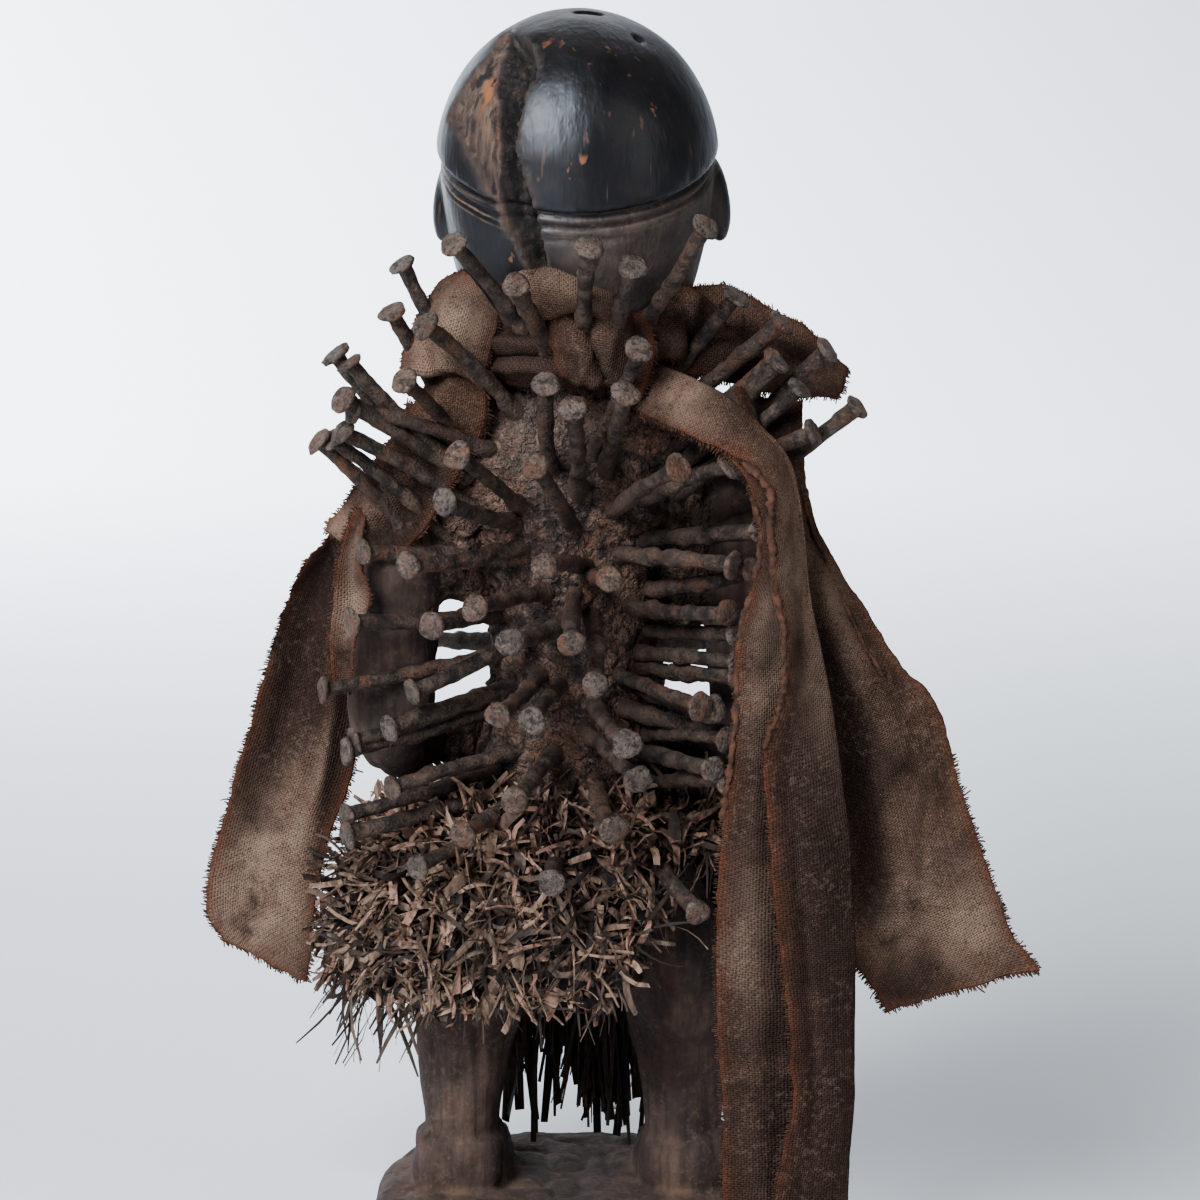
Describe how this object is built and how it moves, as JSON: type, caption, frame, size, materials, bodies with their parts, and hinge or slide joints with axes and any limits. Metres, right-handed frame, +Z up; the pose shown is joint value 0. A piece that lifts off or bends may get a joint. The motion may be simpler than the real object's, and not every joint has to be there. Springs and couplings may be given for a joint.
{
  "type": "nkisi figure",
  "caption": "Standing carved wood nkisi figure on a drum base, driven with iron nails, with old cloth strips and a dried fibre skirt.",
  "frame": {"origin": "middle of the flat underside of the wooden base", "axes": "+Z up from the base to the crown, +Y the way the figure faces, -Y its nailed back, +X to the figure's own right hand side"},
  "size_m": [0.3205, 0.1648, 0.487],
  "materials": {
    "wood": "dark hardwood, polished black on the head, dusty and crusted elsewhere",
    "iron": "old forged iron with brown and grey rust crust",
    "cloth": "coarse plain weave, dusty brown with rust stains and frayed edges",
    "fibre": "dried grass and leaf strips"
  },
  "bodies": {
    "root": {"carved_figure": "wood", "cloth_collar": "cloth", "cloth_left_panel": "cloth", "cloth_left_shoulder": "cloth", "cloth_right_flap": "cloth", "cloth_right_panel": "cloth", "cloth_sash": "cloth", "fibre_skirt": "fibre", "nail_back_back_1": "iron", "nail_back_back_10": "iron", "nail_back_back_2": "iron", "nail_back_back_3": "iron", "nail_back_back_4": "iron", "nail_back_back_5": "iron", "nail_back_back_6": "iron", "nail_back_back_7": "iron", "nail_back_back_8": "iron", "nail_back_back_9": "iron", "nail_back_hips_1": "iron", "nail_back_left_shoulder_1": "iron", "nail_back_left_shoulder_2": "iron", "nail_back_left_shoulder_3": "iron", "nail_back_left_shoulder_4": "iron", "nail_back_left_shoulder_5": "iron", "nail_back_nape_1": "iron", "nail_back_nape_2": "iron", "nail_back_nape_3": "iron", "nail_back_nape_4": "iron", "nail_back_nape_5": "iron", "nail_back_nape_6": "iron", "nail_back_nape_7": "iron", "nail_back_nape_8": "iron", "nail_back_right_shoulder_1": "iron", "nail_back_right_shoulder_2": "iron", "nail_back_right_shoulder_3": "iron", "nail_back_right_shoulder_4": "iron", "nail_back_right_shoulder_5": "iron", "nail_back_waist_1": "iron", "nail_back_waist_2": "iron", "nail_back_waist_3": "iron", "nail_back_waist_4": "iron", "nail_back_waist_5": "iron", "nail_front_belly_1": "iron", "nail_front_belly_2": "iron", "nail_front_belly_3": "iron", "nail_front_belly_4": "iron", "nail_front_chest_1": "iron", "nail_front_chest_2": "iron", "nail_front_chest_3": "iron", "nail_front_chest_4": "iron"}
  },
  "joints": []
}
